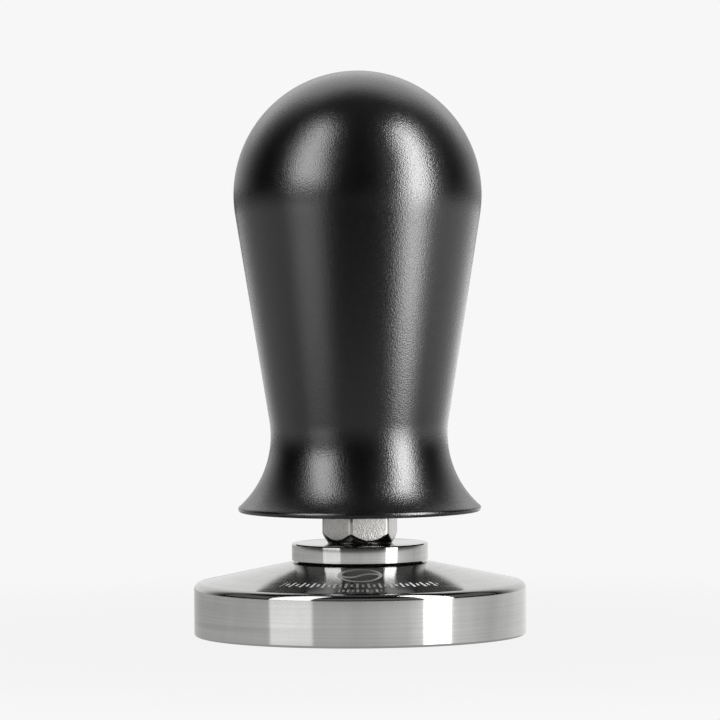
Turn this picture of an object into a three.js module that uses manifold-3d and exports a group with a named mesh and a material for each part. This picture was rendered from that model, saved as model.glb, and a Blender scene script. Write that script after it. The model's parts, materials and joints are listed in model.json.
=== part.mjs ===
// Spring-loaded espresso tamper, 58.5 mm. Millimetres, +Z up, origin at the centre of the tamping face.
// Pressing the handle slides it down over the plunger against the main spring, and it turns freely there.
import * as THREE from "three";
import { mergeVertices } from "three/addons/utils/BufferGeometryUtils.js";
import Module from "manifold-3d";

const wasm = await Module();
wasm.setup();

// ---- Driving dimensions ----
const GAP = 0.05; // between faces that rest on each other
const RUNNING_GAP = 0.06; // radial, between a turned piece and the bore that it runs in
const TRAVEL = 4.0; // how far the handle presses down

const BASE = { r: 29.25, wallTop: 9.18, shoulderR: 1.35, bottomR: 0.5, neckR: 11.6, coneFall: 0.2135 };
const SOCKET = { r: 4.06, floor: 4.0, drillTip: 1.6 };

const SEAT_WASHER = { inner: 4.3, outer: 10.9, height: 0.2 };
const COLLAR = { outer: 12.0, inner: 4.15, bottom: 13.2, height: 3.0, edge: 0.2 };
const LOCK_NUT = { acrossFlats: 12.0, bore: 4.06, height: 6.5, turn: 16.2, faceR: 5.67, chamferFall: 1.5 };

const PLUNGER = {
  threadR: 4.0,
  threadBottom: 4.4,
  threadEnd: 23.4,
  shankR: 5.0,
  headR: 9.6,
  headHeight: 4.0,
  pilotHeight: 6.0,
  reliefR: 3.5,
  reliefHeight: 1.0,
  edge: 0.5,
};
const BUSH = { outer: 6.6, height: 4.3, flangeR: 8.2, flangeHeight: 1.0 };
const SHAFT_SEAL = { outer: 6.6, height: 1.0 };
const RETAINER = { r: 12.0, height: 6.2, mouthR: 5.8, lip: 0.8, counterbore: 6.66, edge: 0.5 };
const SPANNER_HOLE = { r: 1.5, depth: 3.4, pitchR: 9.2, count: 2 };
const LOCK_SCREW = { r: 1.2, holeR: 1.26, length: 4.0, turn: 90, socketFlats: 1.3, socketDepth: 1.6 };
const BUMPER = { inner: 5.7, outer: 9.0, height: 1.9 };
const THRUST_WASHER = { inner: 5.3, outer: 9.4, height: 1.0 };
const SPRING_WASHER = { inner: 5.3, outer: 9.4, height: 0.6 };
const SPRING = { wire: 2.0, meanR: 6.5, length: 26.0, activeTurns: 7, endTurns: 1, endPitch: 2.1 };
const SPRING_SEAT = { r: 9.5, height: 2.0, pilotR: 5.1, pilotHeight: 5.0 };
const LOCK_RING = { r: 9.0, height: 2.0, socketFlats: 10.0, edge: 0.3 };
const PLUG = { r: 9.0, height: 6.0, socketFlats: 8.0, edge: 0.5 };

const HANDLE = {
  ballR: 21.8,
  ballZ: 77.4,
  waistR: 16.7, // radius of the hollow curve of the waist
  waistX: 32.3, // how far that curve's centre lies from the axis
  waistZ: 35.15,
  rimZ: 21.7,
  lipR: 0.55,
  dishR: 19.3,
  dishTopR: 13.0,
  dishDepth: 3.5,
};
const BORE = { threadR: 12.06, springR: 10.1, plugR: 9.06, leadIn: 0.8, drillTip: 4.0, plugLength: 6.6 };

const ROUND = 36; // sides of a small turned piece
const ROUND_LARGE = 64; // sides of the base and the handle

// ---- Heights that follow from them ----
const coneZ = (r) => BASE.wallTop + (BASE.r - r) * BASE.coneFall;
const neckZ = coneZ(BASE.neckR);
const collarTop = COLLAR.bottom + COLLAR.height;
const nutTop = collarTop + LOCK_NUT.height;
const retainerBottom = nutTop + TRAVEL + 2 * GAP;
const retainerTop = retainerBottom + RETAINER.height;
const bushFlangeTop = retainerTop + GAP + BUSH.flangeHeight;
const bumperTop = bushFlangeTop + GAP + BUMPER.height;
const headBottom = bumperTop + GAP;
const headTop = headBottom + PLUNGER.headHeight;
const thrustTop = headTop + GAP + THRUST_WASHER.height;
const springWasherTop = thrustTop + GAP + SPRING_WASHER.height;
const springBottom = springWasherTop + GAP;
const seatBottom = springBottom + SPRING.length + GAP;
const seatTop = seatBottom + SPRING_SEAT.height;
const lockRingBottom = seatTop + GAP;
const plugBottom = lockRingBottom + LOCK_RING.height + GAP;
const runningR = PLUNGER.shankR + RUNNING_GAP;

// ---- Shapes ----

/** Points of an arc about (r, z), from one angle to another in degrees. */
function arc(r, z, radius, from, to, steps) {
  return Array.from({ length: steps + 1 }, (_, i) => {
    const angle = THREE.MathUtils.degToRad(from + ((to - from) * i) / steps);
    return [r + radius * Math.cos(angle), z + radius * Math.sin(angle)];
  });
}

/** A turned piece about Z. Its outline of [r, z] points runs anticlockwise, from axis to axis or closed. */
function turned(outline, sides = ROUND) {
  const points = outline.map(([r, z]) => new THREE.Vector2(r, z));
  return new THREE.LatheGeometry(points, sides).rotateX(Math.PI / 2);
}

/** A turned ring with chamfered corners. */
function ring(inner, outer, bottom, height, edge = 0.15) {
  const top = bottom + height;
  return turned([
    [inner, bottom + edge],
    [inner + edge, bottom],
    [outer - edge, bottom],
    [outer, bottom + edge],
    [outer, top - edge],
    [outer - edge, top],
    [inner + edge, top],
    [inner, top - edge],
    [inner, bottom + edge],
  ]);
}

/** A hexagonal bar standing on a height, its first corner turned from +X by an angle in degrees. */
function hexBar(acrossFlats, bottom, height, turn) {
  const cornerR = acrossFlats / Math.sqrt(3);
  const corners = Array.from({ length: 6 }, (_, i) => {
    const angle = THREE.MathUtils.degToRad(turn + 60 * i);
    return new THREE.Vector2(cornerR * Math.cos(angle), cornerR * Math.sin(angle));
  });
  const bar = new THREE.ExtrudeGeometry(new THREE.Shape(corners), { depth: height, bevelEnabled: false });
  return bar.translate(0, 0, bottom);
}

/** A round bar or a drill, standing on a height. */
function roundBar(r, x, y, bottom, height) {
  return new THREE.CylinderGeometry(r, r, height, 20)
    .rotateX(Math.PI / 2)
    .translate(x, y, bottom + height / 2);
}

/** A geometry as a manifold-3d solid. */
function solid(geometry) {
  const bare = geometry.index ? geometry.toNonIndexed() : geometry.clone();
  bare.deleteAttribute("normal");
  bare.deleteAttribute("uv");
  const merged = mergeVertices(bare, 1e-4);
  return new wasm.Manifold(
    new wasm.Mesh({
      numProp: 3,
      vertProperties: merged.attributes.position.array,
      triVerts: new Uint32Array(merged.index.array),
    }),
  );
}

/** A manifold-3d solid as a geometry. */
function geometryOf(body) {
  const mesh = body.getMesh();
  const geometry = new THREE.BufferGeometry();
  geometry.setAttribute("position", new THREE.BufferAttribute(new Float32Array(mesh.vertProperties), 3));
  geometry.setIndex(new THREE.BufferAttribute(new Uint32Array(mesh.triVerts), 1));
  geometry.computeVertexNormals();
  return geometry;
}

/** The centre line of a compression spring with closed ends, standing on a height. */
class SpringLine extends THREE.Curve {
  constructor(bottom) {
    super();
    this.bottom = bottom + SPRING.wire / 2;
    const rise = SPRING.length - SPRING.wire - 2 * SPRING.endTurns * SPRING.endPitch;
    this.pitch = rise / SPRING.activeTurns;
    this.turns = SPRING.activeTurns + 2 * SPRING.endTurns;
  }

  getPoint(t, target = new THREE.Vector3()) {
    const turn = t * this.turns;
    const closedBelow = Math.min(turn, SPRING.endTurns);
    const open = THREE.MathUtils.clamp(turn - SPRING.endTurns, 0, SPRING.activeTurns);
    const closedAbove = Math.max(turn - SPRING.endTurns - SPRING.activeTurns, 0);
    const z = this.bottom + (closedBelow + closedAbove) * SPRING.endPitch + open * this.pitch;
    const angle = 2 * Math.PI * turn;
    return target.set(SPRING.meanR * Math.cos(angle), SPRING.meanR * Math.sin(angle), z);
  }
}

// ---- The base and what is fastened to it ----

function tampingBase() {
  const slope = Math.atan(BASE.coneFall);
  const slopeDegrees = THREE.MathUtils.radToDeg(slope);
  const shoulderZ = BASE.wallTop - BASE.shoulderR * Math.tan(Math.PI / 4 - slope / 2);
  return turned(
    [
      [0, 0],
      ...arc(BASE.r - BASE.bottomR, BASE.bottomR, BASE.bottomR, -90, 0, 4),
      ...arc(BASE.r - BASE.shoulderR, shoulderZ, BASE.shoulderR, 0, 90 - slopeDegrees, 5),
      [BASE.neckR, neckZ],
      [SOCKET.r + 0.5, neckZ],
      [SOCKET.r, neckZ - 0.5],
      [SOCKET.r, SOCKET.floor],
      [0, SOCKET.floor - SOCKET.drillTip],
    ],
    ROUND_LARGE,
  );
}

function lockNut() {
  const cornerR = LOCK_NUT.acrossFlats / Math.sqrt(3) + 0.2;
  const fall = (cornerR - LOCK_NUT.faceR) * LOCK_NUT.chamferFall;
  const blank = hexBar(LOCK_NUT.acrossFlats, collarTop, LOCK_NUT.height, LOCK_NUT.turn);
  const doubleCone = turned([
    [LOCK_NUT.bore, collarTop],
    [LOCK_NUT.faceR, collarTop],
    [cornerR, collarTop + fall],
    [cornerR, nutTop - fall],
    [LOCK_NUT.faceR, nutTop],
    [LOCK_NUT.bore, nutTop],
    [LOCK_NUT.bore, collarTop],
  ]);
  return geometryOf(solid(blank).intersect(solid(doubleCone)));
}

function plungerShaft() {
  const { edge } = PLUNGER;
  return turned([
    [0, PLUNGER.threadBottom],
    [PLUNGER.threadR - edge, PLUNGER.threadBottom],
    [PLUNGER.threadR, PLUNGER.threadBottom + edge],
    [PLUNGER.threadR, PLUNGER.threadEnd],
    [PLUNGER.reliefR, PLUNGER.threadEnd + edge],
    [PLUNGER.reliefR, PLUNGER.threadEnd + PLUNGER.reliefHeight],
    [PLUNGER.shankR - edge, PLUNGER.threadEnd + PLUNGER.reliefHeight],
    [PLUNGER.shankR, PLUNGER.threadEnd + PLUNGER.reliefHeight + edge],
    [PLUNGER.shankR, headBottom],
    [PLUNGER.headR - edge, headBottom],
    [PLUNGER.headR, headBottom + edge],
    [PLUNGER.headR, headTop - edge],
    [PLUNGER.headR - edge, headTop],
    [PLUNGER.shankR, headTop],
    [PLUNGER.shankR, headTop + PLUNGER.pilotHeight - edge],
    [PLUNGER.shankR - edge, headTop + PLUNGER.pilotHeight],
    [0, headTop + PLUNGER.pilotHeight],
  ]);
}

// ---- The spring set, which turns with the handle and stays at its height ----

function mainSpring() {
  const rim = arc(0, 0, SPRING.wire / 2, 0, 315, 7);
  const section = new THREE.Shape(rim.map(([x, y]) => new THREE.Vector2(x, y)));
  const line = new SpringLine(springBottom);
  return new THREE.ExtrudeGeometry(section, { extrudePath: line, steps: 12 * line.turns });
}

// ---- The handle and what moves with it ----

function handleBody() {
  const { ballR, ballZ, waistR, waistX, waistZ, rimZ, lipR } = HANDLE;
  // The straight taper is the line that touches the waist's circle on one side and the ball on the other.
  const centres = Math.hypot(waistX, ballZ - waistZ);
  const lean = Math.atan2(ballZ - waistZ, -waistX) - Math.asin((ballR + waistR) / centres);
  const taper = 90 - THREE.MathUtils.radToDeg(lean);
  // The lip's small arc touches the rim's plane and the waist's circle.
  const lipZ = rimZ + lipR;
  const lipX = waistX - Math.sqrt((waistR + lipR) ** 2 - (waistZ - lipZ) ** 2);
  const flare = THREE.MathUtils.radToDeg(Math.atan2(waistZ - lipZ, waistX - lipX));
  const boreTop = plugBottom + BORE.plugLength;
  const body = turned(
    [
      ...arc(lipX, lipZ, lipR, -90, flare, 4),
      ...arc(waistX, waistZ, waistR, 180 + flare, 180 - taper, 8).slice(1),
      ...arc(0, ballZ, ballR, -taper, 90, 11),
      [0, boreTop + BORE.drillTip],
      [BORE.plugR, boreTop],
      [BORE.plugR, seatTop + BORE.leadIn],
      [BORE.springR, seatTop + 2 * GAP],
      [BORE.springR, retainerTop + GAP],
      [BORE.threadR, retainerTop + GAP],
      [BORE.threadR, rimZ + HANDLE.dishDepth + BORE.leadIn],
      [HANDLE.dishTopR, rimZ + HANDLE.dishDepth],
      [HANDLE.dishR, rimZ],
      [lipX, rimZ],
    ],
    ROUND_LARGE,
  );
  return geometryOf(solid(body).subtract(solid(lockScrewHole())));
}

function lockScrewBar(r, bottom, length) {
  const angle = THREE.MathUtils.degToRad(LOCK_SCREW.turn);
  return roundBar(r, RETAINER.r * Math.cos(angle), RETAINER.r * Math.sin(angle), bottom, length);
}

function lockScrewHole() {
  return lockScrewBar(LOCK_SCREW.holeR, retainerBottom - 2, LOCK_SCREW.length + 2 + GAP);
}

function retainingNut() {
  const { r, mouthR, lip, counterbore, edge } = RETAINER;
  let body = solid(
    turned([
      [mouthR, retainerBottom],
      [r - edge, retainerBottom],
      [r, retainerBottom + edge],
      [r, retainerTop],
      [counterbore, retainerTop],
      [counterbore, retainerBottom + lip],
      [mouthR, retainerBottom + lip],
      [mouthR, retainerBottom],
    ]),
  );
  for (let i = 0; i < SPANNER_HOLE.count; i++) {
    const angle = (2 * Math.PI * i) / SPANNER_HOLE.count;
    const x = SPANNER_HOLE.pitchR * Math.cos(angle);
    const y = SPANNER_HOLE.pitchR * Math.sin(angle);
    body = body.subtract(solid(roundBar(SPANNER_HOLE.r, x, y, retainerBottom - 1, SPANNER_HOLE.depth + 1)));
  }
  return geometryOf(body.subtract(solid(lockScrewHole())));
}

/** The grub screw half in the retaining nut and half in the handle, which keeps the nut from turning. */
function lockScrew() {
  const blank = lockScrewBar(LOCK_SCREW.r, retainerBottom, LOCK_SCREW.length);
  const socket = hexBar(LOCK_SCREW.socketFlats, retainerBottom - 1, LOCK_SCREW.socketDepth + 1, 0);
  const angle = THREE.MathUtils.degToRad(LOCK_SCREW.turn);
  socket.translate(RETAINER.r * Math.cos(angle), RETAINER.r * Math.sin(angle), 0);
  return geometryOf(solid(blank).subtract(solid(socket)));
}

function guideBush() {
  const flangeBottom = retainerTop + GAP;
  const bottom = flangeBottom - BUSH.height;
  return turned([
    [runningR, bottom],
    [BUSH.outer, bottom],
    [BUSH.outer, flangeBottom],
    [BUSH.flangeR, flangeBottom],
    [BUSH.flangeR, bushFlangeTop],
    [runningR, bushFlangeTop],
    [runningR, bottom],
  ]);
}

function shaftSeal() {
  const height = SHAFT_SEAL.height;
  return ring(runningR, SHAFT_SEAL.outer, retainerBottom + RETAINER.lip + GAP, height, 0.25);
}

function springSeat() {
  const pilotBottom = seatBottom - SPRING_SEAT.pilotHeight;
  return turned([
    [0, pilotBottom],
    [SPRING_SEAT.pilotR - 0.5, pilotBottom],
    [SPRING_SEAT.pilotR, pilotBottom + 0.5],
    [SPRING_SEAT.pilotR, seatBottom],
    [SPRING_SEAT.r, seatBottom],
    [SPRING_SEAT.r, seatTop],
    [0, seatTop],
  ]);
}

/** A threaded disc with a hexagonal hole through it, standing on a height. */
function socketDisc({ r, height, socketFlats, edge }, bottom) {
  const blank = turned([
    [0, bottom],
    [r - edge, bottom],
    [r, bottom + edge],
    [r, bottom + height - edge],
    [r - edge, bottom + height],
    [0, bottom + height],
  ]);
  const socket = hexBar(socketFlats, bottom - 1, height + 2, 0);
  return geometryOf(solid(blank).subtract(solid(socket)));
}

// ---- Finishes ----
const finish = (color, roughness, metalness) => new THREE.MeshStandardMaterial({ color, roughness, metalness });
const polishedSteel = () => finish(0xc9cbcc, 0.2, 1.0);
const turnedSteel = () => finish(0xc2c4c6, 0.3, 1.0);
const nickel = () => finish(0xb9b7b0, 0.45, 1.0);
const springSteel = () => finish(0x8d9093, 0.35, 1.0);
const blackAnodised = () => finish(0x17181a, 0.5, 0.6);
const plainAluminium = () => finish(0xb4b6b8, 0.4, 1.0);
const bronze = () => finish(0xa9793f, 0.4, 1.0);
const rubber = () => finish(0x141414, 0.85, 0.0);
const acetal = () => finish(0xe6e4dc, 0.5, 0.0);

/** Adds one named piece to a body's group. */
function place(group, name, geometry, material) {
  const mesh = new THREE.Mesh(geometry, material);
  mesh.name = name;
  group.add(mesh);
}

const baseAssembly = new THREE.Group();
place(baseAssembly, "tamping_base", tampingBase(), polishedSteel());
const { inner: washerIn, outer: washerOut, height: washerHeight } = SEAT_WASHER;
place(baseAssembly, "seat_washer", ring(washerIn, washerOut, neckZ + 0.02, washerHeight, 0.08), rubber());
place(
  baseAssembly,
  "collar_disc",
  ring(COLLAR.inner, COLLAR.outer, COLLAR.bottom, COLLAR.height, COLLAR.edge),
  turnedSteel(),
);
place(baseAssembly, "lock_nut", lockNut(), nickel());
place(baseAssembly, "plunger_shaft", plungerShaft(), turnedSteel());

const springSet = new THREE.Group();
place(
  springSet,
  "thrust_washer",
  ring(THRUST_WASHER.inner, THRUST_WASHER.outer, headTop + GAP, THRUST_WASHER.height),
  acetal(),
);
place(
  springSet,
  "spring_washer",
  ring(SPRING_WASHER.inner, SPRING_WASHER.outer, thrustTop + GAP, SPRING_WASHER.height, 0.1),
  turnedSteel(),
);
place(springSet, "main_spring", mainSpring(), springSteel());

const handle = new THREE.Group();
place(handle, "handle_body", handleBody(), blackAnodised());
place(handle, "retaining_nut", retainingNut(), plainAluminium());
place(handle, "retainer_lock_screw", lockScrew(), springSteel());
place(handle, "guide_bush", guideBush(), bronze());
place(handle, "shaft_seal", shaftSeal(), rubber());
place(
  handle,
  "bumper_ring",
  ring(BUMPER.inner, BUMPER.outer, bushFlangeTop + GAP, BUMPER.height, 0.5),
  rubber(),
);
place(handle, "spring_seat", springSeat(), turnedSteel());
place(handle, "plug_lock_ring", socketDisc(LOCK_RING, lockRingBottom), plainAluminium());
place(handle, "calibration_plug", socketDisc(PLUG, plugBottom), plainAluminium());

const tamper = new THREE.Group();
tamper.add(baseAssembly, springSet, handle);
export default tamper;
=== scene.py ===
"""Spring-loaded espresso tamper: finished meshes, finishes and studio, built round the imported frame.

Sizes in the classes are in millimetres, as on a workshop drawing. Meshes are in metres.
"""

import json
import logging
import math
from collections.abc import Callable, Sequence
from dataclasses import dataclass, field
from enum import Enum
from typing import Union

import bmesh
import bpy
from mathutils import Matrix, Vector

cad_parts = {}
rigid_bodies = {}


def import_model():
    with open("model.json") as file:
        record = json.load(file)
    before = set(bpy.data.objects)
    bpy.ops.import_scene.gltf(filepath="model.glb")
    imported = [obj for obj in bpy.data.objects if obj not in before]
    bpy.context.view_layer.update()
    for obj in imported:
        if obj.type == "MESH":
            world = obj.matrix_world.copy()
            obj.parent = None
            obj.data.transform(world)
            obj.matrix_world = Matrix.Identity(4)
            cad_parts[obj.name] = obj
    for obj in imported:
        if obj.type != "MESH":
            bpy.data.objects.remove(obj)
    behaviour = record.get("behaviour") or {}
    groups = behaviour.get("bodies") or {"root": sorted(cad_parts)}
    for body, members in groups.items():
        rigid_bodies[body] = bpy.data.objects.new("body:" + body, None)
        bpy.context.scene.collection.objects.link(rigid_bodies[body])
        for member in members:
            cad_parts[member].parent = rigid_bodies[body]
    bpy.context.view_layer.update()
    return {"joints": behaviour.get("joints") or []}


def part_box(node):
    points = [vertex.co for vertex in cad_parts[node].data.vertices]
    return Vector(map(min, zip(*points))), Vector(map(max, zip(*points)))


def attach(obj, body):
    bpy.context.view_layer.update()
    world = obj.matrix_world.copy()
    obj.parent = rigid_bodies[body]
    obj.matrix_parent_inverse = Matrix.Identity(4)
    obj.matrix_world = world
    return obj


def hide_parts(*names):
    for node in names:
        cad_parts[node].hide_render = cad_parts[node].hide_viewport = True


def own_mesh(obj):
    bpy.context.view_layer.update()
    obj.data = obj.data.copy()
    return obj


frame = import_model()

MM = 0.001
MERGE = 1e-7  # metres between points that are the same point
TURN = 2 * math.pi
DEGREES = 180 / math.pi
LOG = logging.getLogger("tamper")

Point = tuple[float, float]
Corner = tuple[float, float, float]
Color = tuple[float, float, float]
Number = Union[float, "Term"]
Object = bpy.types.Object
Socket = bpy.types.NodeSocket
Paint = Union[Color, Socket]


# Node trees written as expressions


def operator(operation: str, swapped: bool = False) -> Callable[["Term", Number], "Term"]:
    """Makes one of Term's operators.

    Args:
        operation: The Math node's operation.
        swapped: Whether the other number stands on the left.

    Returns:
        The operator, which adds the node and gives its result.
    """

    def apply(term: "Term", other: Number) -> "Term":
        """Adds the node and gives its result."""
        return term.tree.math(operation, *((other, term) if swapped else (term, other)))

    return apply


class Term:
    """A number inside a node tree. Python's operators on it add Math nodes."""

    __add__, __radd__ = operator("ADD"), operator("ADD", swapped=True)
    __sub__, __rsub__ = operator("SUBTRACT"), operator("SUBTRACT", swapped=True)
    __mul__, __rmul__ = operator("MULTIPLY"), operator("MULTIPLY", swapped=True)
    __truediv__, __rtruediv__ = operator("DIVIDE"), operator("DIVIDE", swapped=True)
    __mod__ = operator("FLOORED_MODULO")
    __lt__ = operator("LESS_THAN")

    def __init__(self, tree: "Tree", socket: Socket) -> None:
        """Wraps the output socket that carries the number."""
        self.tree = tree
        self.socket = socket

    def __neg__(self) -> "Term":
        """Negative."""
        return self * -1.0

    def __abs__(self) -> "Term":
        """Size without sign."""
        return self.tree.math("ABSOLUTE", self)


def paint(color: Paint) -> object:
    """A colour as an input takes it: four numbers, or the socket that it comes from."""
    return color if isinstance(color, Socket) else (*color, 1.0)


def shade(color: Color, share: float) -> Color:
    """A darker or lighter colour of the same hue."""
    return tuple(share * part for part in color)


class Tree:
    """A shader or geometry node tree that is filled through one method."""

    def __init__(self, nodes: bpy.types.NodeTree) -> None:
        """Takes a Blender tree and empties it."""
        self.nodes = nodes
        nodes.nodes.clear()

    def add(self, kind: str, settings: dict | None = None, inputs: dict | None = None) -> bpy.types.Node:
        """Adds a node of any type.

        Args:
            kind: The node's Blender type.
            settings: Properties of the node, set first. "stops" holds a ramp's (place, grey) pairs.
            inputs: Values, Terms, output sockets or nodes, whose first output is meant, by input
                name, identifier or number.

        Returns:
            The new node.
        """
        node = self.nodes.nodes.new(kind)
        for key, value in (settings or {}).items():
            if key == "stops":
                self._set_stops(node.color_ramp.elements, value)
            else:
                setattr(node, key, value)
        for key, value in (inputs or {}).items():
            socket = self._input(node, key)
            source = value.outputs[0] if isinstance(value, bpy.types.Node) else value
            source = source.socket if isinstance(source, Term) else source
            if isinstance(source, Socket):
                self.nodes.links.new(source, socket)
            else:
                socket.default_value = source
        return node

    @staticmethod
    def _set_stops(elements: bpy.types.ColorRampElements, stops: Sequence[Point]) -> None:
        """Sets a ramp's stops.

        Args:
            elements: The ramp's own stops.
            stops: Pairs of place and grey value.
        """
        while len(elements) > 1:
            elements.remove(elements[-1])
        for number, (place, grey) in enumerate(stops):
            element = elements[0] if number == 0 else elements.new(place)
            element.position = place
            element.color = (grey, grey, grey, 1.0)

    @staticmethod
    def _input(node: bpy.types.Node, key: str | int) -> Socket:
        """Finds an input by number, identifier or name."""
        same = (socket for socket in node.inputs if socket.identifier == key)
        return next(same, None) or node.inputs[key]

    def math(self, operation: str, *numbers: Number) -> Term:
        """Adds a Math node and gives its result."""
        node = self.add("ShaderNodeMath", {"operation": operation}, dict(enumerate(numbers)))
        return Term(self, node.outputs[0])

    def step(self, value: Term, low: float, high: float) -> Term:
        """A smooth rise from zero at low to one at high, or a fall if low is above high.

        Args:
            value: The number to test.
            low: Where the result is zero.
            high: Where the result is one.

        Returns:
            The result, from zero to one.
        """
        if low > high:
            return 1.0 - self.step(value, high, low)
        inputs = {"Value": value, "From Min": low, "From Max": high}
        node = self.add("ShaderNodeMapRange", {"interpolation_type": "SMOOTHSTEP"}, inputs)
        return Term(self, node.outputs[0])

    def band(self, value: Term, low: float, high: float, soft: float) -> Term:
        """One between low and high and zero elsewhere, with edges that are soft to each side."""
        return self.step(value, low - soft, low + soft) * self.step(value, high + soft, high - soft)

    def blend(self, factor: Number, low: Number, high: Number) -> Term:
        """A number that goes from low to high as the factor goes from zero to one."""
        inputs = {"Factor_Float": factor, "A_Float": low, "B_Float": high}
        return Term(self, self.add("ShaderNodeMix", {"data_type": "FLOAT"}, inputs).outputs[0])

    def tint(self, factor: Number, low: Paint, high: Paint) -> Socket:
        """A colour that goes from low to high as the factor goes from zero to one.

        Args:
            factor: From zero to one.
            low: The colour at zero.
            high: The colour at one.

        Returns:
            The colour's socket.
        """
        inputs = {"Factor_Float": factor, "A_Color": paint(low), "B_Color": paint(high)}
        node = self.add("ShaderNodeMix", {"data_type": "RGBA"}, inputs)
        return next(socket for socket in node.outputs if socket.identifier == "Result_Color")

    def grey(self, level: Number) -> Socket:
        """A grey colour."""
        return self.add("ShaderNodeCombineColor", None, {0: level, 1: level, 2: level}).outputs[0]

    def vector(self, x: Number, y: Number, z: Number) -> Socket:
        """Joins three numbers into a vector."""
        return self.add("ShaderNodeCombineXYZ", None, {0: x, 1: y, 2: z}).outputs[0]

    def around(self, reach: Term, angle: Term, height: Term) -> Socket:
        """The point at a distance from the axis, an angle round it and a height."""
        return self.vector(reach * self.math("COSINE", angle), reach * self.math("SINE", angle), height)

    def parts(self, vector: Socket | bpy.types.Node) -> tuple[Term, Term, Term]:
        """Splits a vector into its three numbers."""
        node = self.add("ShaderNodeSeparateXYZ", None, {0: vector})
        return Term(self, node.outputs[0]), Term(self, node.outputs[1]), Term(self, node.outputs[2])

    def noise(self, vector: Socket, scale: float, detail: float = 2.0) -> Term:
        """Noise from zero to one, in waves per unit of the vector, with finer layers in it."""
        inputs = {"Vector": vector, "Scale": scale, "Detail": detail}
        return Term(self, self.add("ShaderNodeTexNoise", None, inputs).outputs[0])


@dataclass(frozen=True)
class Place:
    """Where a point of a turned piece is, in millimetres, as numbers in a shader tree.

    The radius is its distance from the tamper's axis, and the angle is in radians from the front.
    """

    vector: Socket
    y: Term
    z: Term
    radius: Term
    angle: Term

    @staticmethod
    def read(tree: Tree) -> "Place":
        """Reads Object coordinates.

        Args:
            tree: The material's tree.

        Returns:
            The place.
        """
        metres = tree.add("ShaderNodeTexCoord").outputs["Object"]
        scaled = tree.add("ShaderNodeVectorMath", {"operation": "SCALE"}, {0: metres, "Scale": 1 / MM})
        x, y, z = tree.parts(scaled)
        radius = tree.math("SQRT", x * x + y * y)
        return Place(scaled.outputs[0], y, z, radius, tree.math("ARCTAN2", x, -y))


def new_material(name: str) -> tuple[bpy.types.Material, Tree]:
    """Makes a material with an empty node tree.

    Args:
        name: The material's name.

    Returns:
        The material and its tree.
    """
    material = bpy.data.materials.new(name)
    material.use_nodes = True
    return material, Tree(material.node_tree)


# Finishes


class Slot(Enum):
    """The record's material slots."""

    HANDLE_BLACK = "handle_black"
    BASE_STEEL = "base_steel"
    COLLAR_STEEL = "collar_steel"
    NUT_NICKEL = "nut_nickel"
    SHAFT_STEEL = "shaft_steel"
    SPRING_STEEL = "spring_steel"
    PLAIN_ALUMINIUM = "plain_aluminium"
    BRONZE = "bronze"
    BLACK_RUBBER = "black_rubber"
    ACETAL = "acetal"


@dataclass(frozen=True)
class Look:
    """What a finish feeds to the shader."""

    color: Paint
    roughness: Number
    metallic: float
    height: Number | None = None
    relief_mm: float = 0.0
    anisotropy: float = 0.0
    ior: float = 1.5


@dataclass(frozen=True)
class Finish:
    """A surface finish. Its subclasses say how it looks."""

    slot: Slot

    def look(self, tree: Tree, place: Place) -> Look:
        """Says how the surface looks. Each subclass has its own.

        Args:
            tree: The material's tree.
            place: Where the surface is read.

        Returns:
            The look.
        """
        raise NotImplementedError

    def material(self) -> bpy.types.Material:
        """Makes the material.

        Returns:
            A new node material.
        """
        material, tree = new_material(self.slot.value)
        look = self.look(tree, Place.read(tree))
        inputs = {
            "Base Color": paint(look.color),
            "Roughness": look.roughness,
            "Metallic": look.metallic,
            "IOR": look.ior,
            "Anisotropic": look.anisotropy,
            "Anisotropic Rotation": 0.25,
        }
        if look.height is not None:
            relief = {"Height": look.height, "Strength": 1.0, "Distance": look.relief_mm * MM}
            inputs["Normal"] = tree.add("ShaderNodeBump", None, relief)
        shader = tree.add("ShaderNodeBsdfPrincipled", None, inputs)
        tree.add("ShaderNodeOutputMaterial", None, {"Surface": shader})
        return material


@dataclass(frozen=True)
class BlastedAnodising(Finish):
    """Fine bead-blasted aluminium, anodised black: satin, with a grain that sparkles in the highlights."""

    slot: Slot = Slot.HANDLE_BLACK
    color: Color = (0.0006, 0.0006, 0.0006)
    darkest: float = 0.75
    cloud_per_mm: float = 0.12
    roughness: float = 0.23
    dust_roughness: float = 0.08
    cloud_roughness: float = 0.03
    grain_per_mm: float = 3.9
    dust_ratio: float = 2.6
    dust_share: float = 0.35
    relief_mm: float = 0.037
    ior: float = 1.65

    def look(self, tree: Tree, place: Place) -> Look:
        """Mottles the tone a little and lays two sizes of blasting grain over the surface."""
        grain = tree.noise(place.vector, self.grain_per_mm, 0.0)
        dust = tree.noise(place.vector, self.grain_per_mm * self.dust_ratio, 0.0)
        cloud = tree.noise(place.vector, self.cloud_per_mm, 3.0)
        height = grain * (1.0 - self.dust_share) + dust * self.dust_share
        uneven = (dust - 0.5) * self.dust_roughness + (cloud - 0.5) * self.cloud_roughness
        color = tree.tint(cloud, shade(self.color, self.darkest), self.color)
        return Look(color, self.roughness + uneven, 0.0, height, self.relief_mm, ior=self.ior)


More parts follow.
